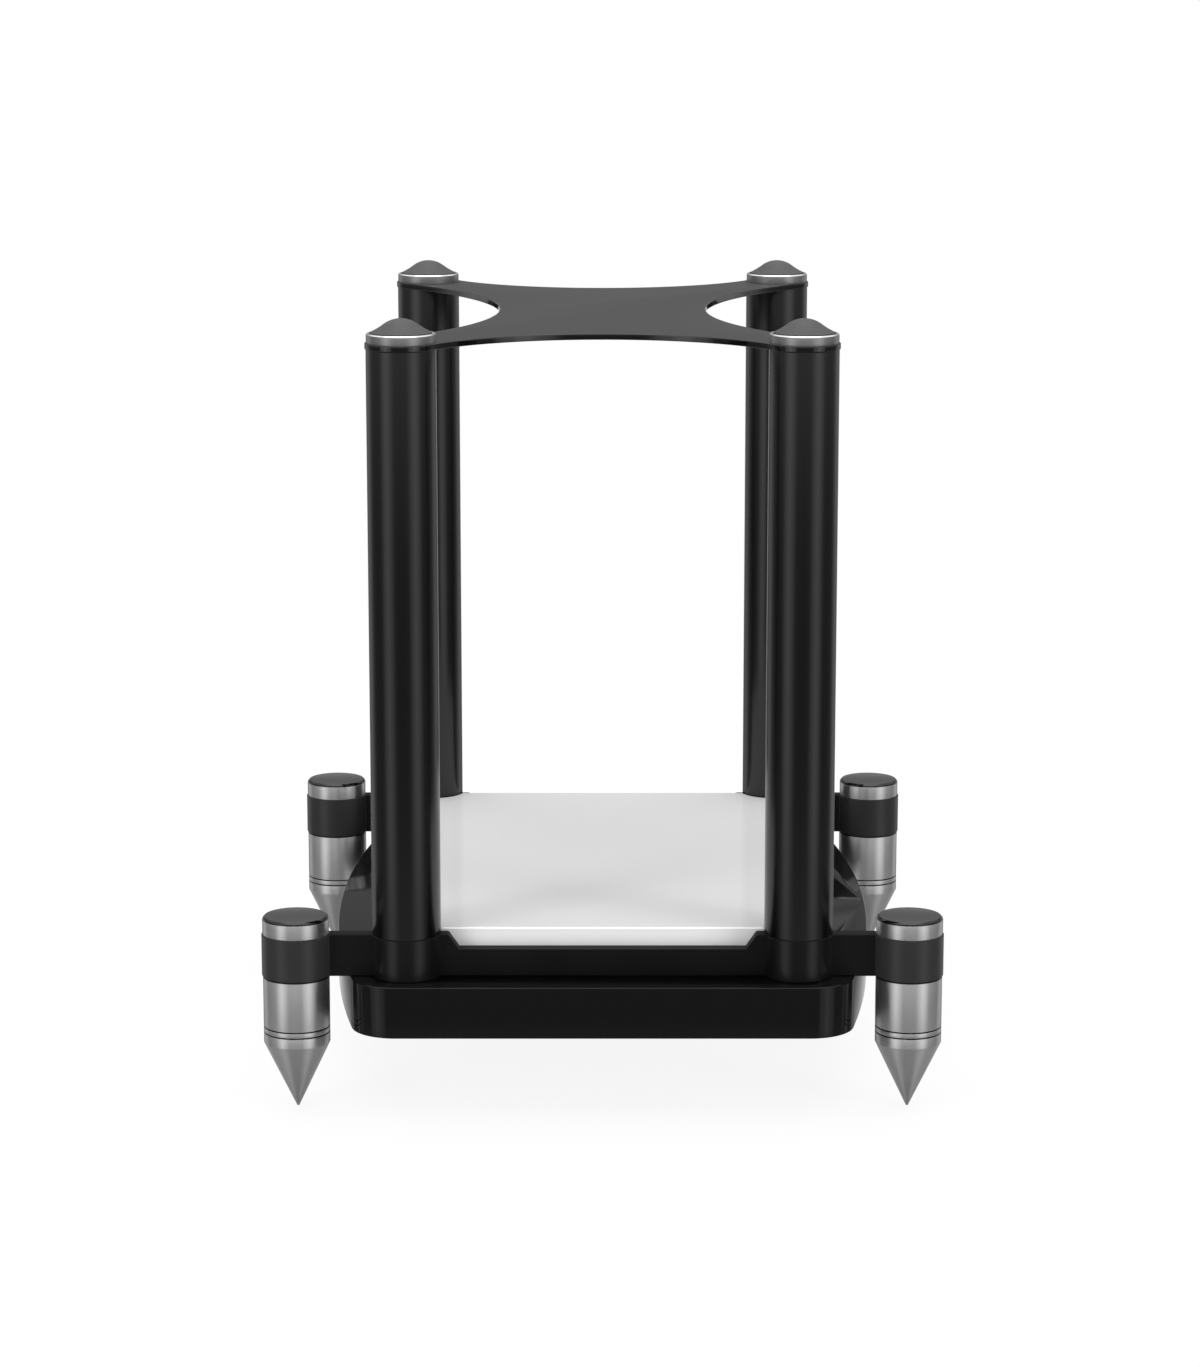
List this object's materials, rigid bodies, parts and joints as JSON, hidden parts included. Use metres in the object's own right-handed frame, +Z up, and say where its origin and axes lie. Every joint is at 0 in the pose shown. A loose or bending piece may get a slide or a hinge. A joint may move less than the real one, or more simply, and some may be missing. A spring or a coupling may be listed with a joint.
{
  "type": "speaker stand",
  "caption": "Low four-column speaker stand with a waisted top plate, rubber pads, a bowed plinth with a slab set in it, and screw-adjustable floor spikes on outrigger bars.",
  "frame": {"origin": "on the floor, midway between the four spike tips", "axes": "+Z up, +X to the right seen from the front, -Y towards the front"},
  "size_m": [0.4424, 0.466, 0.5152],
  "materials": {
    "satin_black": "satin black anodised look",
    "gloss_black_plate": "gloss black",
    "black_lacquer": "black piano lacquer",
    "pale_gloss": "pale high gloss",
    "satin_aluminium": "turned satin",
    "gloss_black_cap": "gloss black",
    "black_rubber": "matte moulded rubber",
    "plain_aluminium": "as turned",
    "plain_steel": "zinc plated",
    "plain_brass": "as turned"
  },
  "bodies": {
    "frame": {"top_plate": "gloss_black_plate", "front_bar": "satin_black", "rear_bar": "satin_black", "plinth": "black_lacquer", "insert_slab": "pale_gloss", "column_top_plugs": "plain_aluminium", "column_bottom_plugs": "plain_aluminium", "plate_screws": "plain_steel", "plinth_bolts": "plain_steel", "bolt_washers": "plain_steel", "foot_bushes": "plain_brass", "column_front_left": "satin_black", "pad_cup_front_left": "satin_aluminium", "rubber_pad_front_left": "black_rubber", "column_front_right": "satin_black", "pad_cup_front_right": "satin_aluminium", "rubber_pad_front_right": "black_rubber", "column_rear_left": "satin_black", "pad_cup_rear_left": "satin_aluminium", "rubber_pad_rear_left": "black_rubber", "column_rear_right": "satin_black", "pad_cup_rear_right": "satin_aluminium", "rubber_pad_rear_right": "black_rubber"},
    "foot_stud_front_left": {"stud_front_left": "plain_steel"},
    "foot_spike_front_left": {"spike_front_left": "satin_aluminium"},
    "foot_lock_front_left": {"lock_ring_front_left": "satin_aluminium", "cap_disc_front_left": "gloss_black_cap"},
    "foot_stud_front_right": {"stud_front_right": "plain_steel"},
    "foot_spike_front_right": {"spike_front_right": "satin_aluminium"},
    "foot_lock_front_right": {"lock_ring_front_right": "satin_aluminium", "cap_disc_front_right": "gloss_black_cap"},
    "foot_stud_rear_left": {"stud_rear_left": "plain_steel"},
    "foot_spike_rear_left": {"spike_rear_left": "satin_aluminium"},
    "foot_lock_rear_left": {"lock_ring_rear_left": "satin_aluminium", "cap_disc_rear_left": "gloss_black_cap"},
    "foot_stud_rear_right": {"stud_rear_right": "plain_steel"},
    "foot_spike_rear_right": {"spike_rear_right": "satin_aluminium"},
    "foot_lock_rear_right": {"lock_ring_rear_right": "satin_aluminium", "cap_disc_rear_right": "gloss_black_cap"}
  },
  "joints": [
    {"name": "spike_travel_front_left", "type": "slide", "parent": "frame", "child": "foot_stud_front_left", "axis": [0, 0, -1], "range_m": [0, 0.0045]},
    {"name": "spike_turn_front_left", "type": "hinge", "parent": "foot_stud_front_left", "child": "foot_spike_front_left", "pos_m": [-0.199, -0.2, 0.07], "axis": [0, 0, -1], "range_deg": [0, 1080]},
    {"name": "lock_turn_front_left", "type": "hinge", "parent": "frame", "child": "foot_lock_front_left", "pos_m": [-0.199, -0.2, 0.121], "axis": [0, 0, 1], "range_deg": [0, 90]},
    {"name": "spike_travel_front_right", "type": "slide", "parent": "frame", "child": "foot_stud_front_right", "axis": [0, 0, -1], "range_m": [0, 0.0045]},
    {"name": "spike_turn_front_right", "type": "hinge", "parent": "foot_stud_front_right", "child": "foot_spike_front_right", "pos_m": [0.199, -0.2, 0.07], "axis": [0, 0, -1], "range_deg": [0, 1080]},
    {"name": "lock_turn_front_right", "type": "hinge", "parent": "frame", "child": "foot_lock_front_right", "pos_m": [0.199, -0.2, 0.121], "axis": [0, 0, 1], "range_deg": [0, 90]},
    {"name": "spike_travel_rear_left", "type": "slide", "parent": "frame", "child": "foot_stud_rear_left", "axis": [0, 0, -1], "range_m": [0, 0.0045]},
    {"name": "spike_turn_rear_left", "type": "hinge", "parent": "foot_stud_rear_left", "child": "foot_spike_rear_left", "pos_m": [-0.199, 0.2, 0.07], "axis": [0, 0, -1], "range_deg": [0, 1080]},
    {"name": "lock_turn_rear_left", "type": "hinge", "parent": "frame", "child": "foot_lock_rear_left", "pos_m": [-0.199, 0.2, 0.121], "axis": [0, 0, 1], "range_deg": [0, 90]},
    {"name": "spike_travel_rear_right", "type": "slide", "parent": "frame", "child": "foot_stud_rear_right", "axis": [0, 0, -1], "range_m": [0, 0.0045]},
    {"name": "spike_turn_rear_right", "type": "hinge", "parent": "foot_stud_rear_right", "child": "foot_spike_rear_right", "pos_m": [0.199, 0.2, 0.07], "axis": [0, 0, -1], "range_deg": [0, 1080]},
    {"name": "lock_turn_rear_right", "type": "hinge", "parent": "frame", "child": "foot_lock_rear_right", "pos_m": [0.199, 0.2, 0.121], "axis": [0, 0, 1], "range_deg": [0, 90]}
  ],
  "couplings": [
    {"joint": "spike_turn_front_left", "follows": "spike_travel_front_left", "rad_per_m": 4188.8},
    {"joint": "spike_turn_front_right", "follows": "spike_travel_front_right", "rad_per_m": 4188.8},
    {"joint": "spike_turn_rear_left", "follows": "spike_travel_rear_left", "rad_per_m": 4188.8},
    {"joint": "spike_turn_rear_right", "follows": "spike_travel_rear_right", "rad_per_m": 4188.8}
  ]
}
